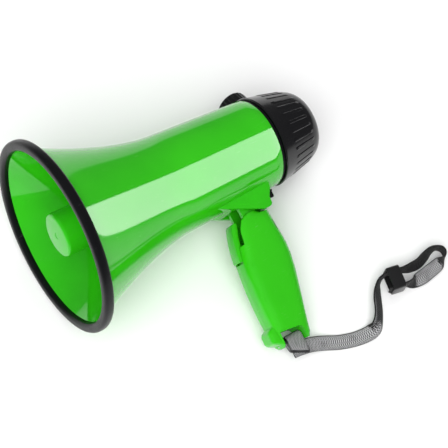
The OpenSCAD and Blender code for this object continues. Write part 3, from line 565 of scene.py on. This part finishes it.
STEEL = material("plated_steel", drawn_metal, {
    "Colour": (0.62, 0.63, 0.65), "Stain Colour": (0.25, 0.22, 0.19), "Polish Roughness": 0.22, "Stain": 0.4,
    "Draw Scale": 1.0}, {"Metallic": 1.0})
dress(STEEL, "bracket_screws", "grip_screws", "hinge_pin", "trigger_pin", "trigger_spring", "strap_bar",
      "cradle_springs", "contact_springs")

# ---- driver ----
# A black frame on the wall across the horn holds an amber film diaphragm, a copper-gold voice coil and a grey
# ring magnet between steel plates. The throat tube in front of it is green like the cup.
INNER = moulded("inner_black", (0.018, 0.018, 0.019), (0.01, 0.01, 0.011), (0.1, 0.1, 0.1), gloss=0.4,
                scuffed=0.6, wear_and_highlight=0.4, grain_scale=1300.0, grain=0.2)
FILM = moulded("film_amber", (0.5, 0.22, 0.04), (0.4, 0.15, 0.02), (0.7, 0.5, 0.3), gloss=0.12, scuffed=0.3,
               wear_and_highlight=0.2, grain_scale=500.0, grain=0.05, edge=0.0001)
MAGNET = moulded("magnet_grey", (0.045, 0.045, 0.048), (0.025, 0.025, 0.027), (0.2, 0.2, 0.2), gloss=0.5,
                 scuffed=0.8, wear_and_highlight=0.8, grain_scale=1600.0, grain=0.4, edge=0.0002)
WIRE = moulded("wire_red", (0.45, 0.015, 0.01), (0.35, 0.01, 0.008), (0.5, 0.2, 0.2), gloss=0.35, scuffed=0.5,
               wear_and_highlight=0.2, grain_scale=1500.0, grain=0.1, edge=0.0001)
BRASS = material("contact_brass", drawn_metal, {
    "Colour": (0.72, 0.52, 0.2), "Stain Colour": (0.28, 0.16, 0.06), "Polish Roughness": 0.25, "Stain": 0.5,
    "Draw Scale": 1.2}, {"Metallic": 1.0})
dress(CUP, "throat_tube")
dress(INNER, "driver_frame", "driver_cover")
dress(FILM, "driver_diaphragm")
dress(BRASS, "voice_coil")
dress(STEEL, "driver_top_plate", "driver_yoke", "driver_screws")
dress(MAGNET, "driver_magnet")
dress(WIRE, "driver_wires")

# ---- batteries and switches ----
# Four dry cells in plain blue wrap lie in a black cradle with brass contacts. A black plate on the rear unit
# meets them, and two small black switches make talk and mode.
CELL = moulded("cell_wrap", (0.03, 0.05, 0.16), (0.02, 0.03, 0.1), (0.4, 0.4, 0.45), gloss=0.2, scuffed=0.4,
               wear_and_highlight=0.4, grain_scale=900.0, grain=0.05)
dress(CELL, "battery_1", "battery_2", "battery_3", "battery_4")
dress(INNER, "battery_cradle", "switch_body")
dress(BRASS, "cradle_contacts")
dress(GRILLE, "contact_plate", "talk_switch")

# ---- circuit board ----
# A round green board in the rear cap carries the amplifier chip and three capacitors in blue wrap. The volume
# control with its nut and shaft, and the microphone capsule in its steel can, sit in the cap beside it.
BOARD = moulded("board_green", (0.01, 0.12, 0.035), (0.006, 0.08, 0.02), (0.3, 0.4, 0.3), gloss=0.25,
                scuffed=0.4, wear_and_highlight=0.2, grain_scale=2200.0, grain=0.1, edge=0.0001)
CHIP = moulded("chip_black", (0.02, 0.02, 0.021), (0.014, 0.014, 0.015), (0.1, 0.1, 0.1), gloss=0.45,
               scuffed=0.6, wear_and_highlight=0.3, grain_scale=2500.0, grain=0.3, edge=0.0001)
BLUE = moulded("part_blue", (0.02, 0.04, 0.18), (0.015, 0.03, 0.12), (0.3, 0.3, 0.4), gloss=0.25, scuffed=0.4,
               wear_and_highlight=0.2, grain_scale=1200.0, grain=0.05)
dress(BOARD, "circuit_board")
dress(CHIP, "amplifier_chip")
dress(BLUE, "capacitors")
dress(STEEL, "volume_pot", "pot_nut", "pot_shaft", "mic_capsule")

# ---- studio floor and surround ----
# A plain pale table, much wider than the megaphone, and a dim white surround that fills the shadows. Colours
# are shown as they are, with no film curve.
floor_half, floor_steps = 3.0, 24
floor_line = [2 * floor_half * k / floor_steps - floor_half for k in range(floor_steps + 1)]
floor = piece("studio_floor", [[(x, y, -0.0002) for x in floor_line] for y in floor_line], closed_rings=False,
              place=Matrix.Identity(4))
FLOOR = bpy.data.materials.new("studio_floor")
FLOOR.use_nodes = True
FLOOR.node_tree.nodes["Principled BSDF"].inputs["Base Color"].default_value = (0.97, 0.97, 0.97, 1)
FLOOR.node_tree.nodes["Principled BSDF"].inputs["Roughness"].default_value = 0.85
floor.data.materials.append(FLOOR)
world = bpy.data.worlds.new("surround")
world.use_nodes = True
world.node_tree.nodes["Background"].inputs["Color"].default_value = (1, 1, 1, 1)
world.node_tree.nodes["Background"].inputs["Strength"].default_value = 0.19
bpy.context.scene.world = world
bpy.context.scene.view_settings.view_transform = "Standard"

# ---- lights ----
# Three wide soft boxes light the scene and leave no reflections. A long strip box gives no light but its
# reflection, the bright band along the horn.


def soft_box(name, place, size, power):
    lamp = bpy.data.lights.new(name, "AREA")
    lamp.shape = "RECTANGLE"
    lamp.size, lamp.size_y = size
    lamp.energy = power
    o = bpy.data.objects.new(name, lamp)
    o.matrix_world = place
    o.visible_camera = False
    bpy.context.scene.collection.objects.link(o)
    return o


for name, where, look_at, side, power in (
        ("overhead_softbox", (-0.5, -0.75, 1.5), (0, 0, 0.05), 1.9, 36),
        ("mouth_fill", (-1.4, 0.1, 0.75), (-0.05, 0, 0.07), 1.2, 8),
        ("side_fill", (0.9, 0.9, 1.2), (0, 0, 0), 1.8, 12)):
    aim = Vector(look_at) - Vector(where)
    place = Matrix.Translation(where) @ aim.to_track_quat("-Z", "Y").to_matrix().to_4x4()
    soft_box(name, place, (side, side), power).visible_glossy = False

# the strip lies along the horn, 0.6 m out, and its back end leans a little to one side
strip_angle, strip_lean = radians(-71), radians(7)
strip_away, strip_centre_z = 0.6, 1.3
outward = Vector((cos(strip_angle), sin(strip_angle), 0))
sideways = outward.cross(Vector((0, 0, 1)))
lengthwise = (cos(strip_lean) * Vector((0, 0, 1)) + sin(strip_lean) * sideways).normalized()
strip_place = Matrix((lengthwise, outward.cross(lengthwise), outward)).transposed().to_4x4()
strip_place.translation = outward * strip_away + Vector((0, 0, strip_centre_z))
strip = soft_box("strip_softbox", lie @ strip_place, (3.0, 0.90), 56)
strip.visible_diffuse = False
strip_lit = bpy.data.collections.new("strip_softbox_on")
strip_lit.objects.link(horn)
strip.light_linking.receiver_collection = strip_lit

# ---- camera ----
# A steep view down onto the side that faces up, a little to the left of the mouth.
right = Vector((0.467, -0.361, 0.807))
back = Vector((0.0627, -0.897, -0.438)).normalized()
up = back.cross(right).normalized()
view_axes = Matrix((up.cross(back), up, back)).transposed().to_4x4()
view_axes.translation = (0.11027, -0.91098, -0.31218)
camera = bpy.data.objects.new("camera", bpy.data.cameras.new("camera"))
camera.data.lens = 104.46
camera.data.sensor_width = 36
camera.matrix_world = lie @ view_axes
bpy.context.scene.collection.objects.link(camera)
bpy.context.scene.camera = camera

bpy.context.view_layer.update()
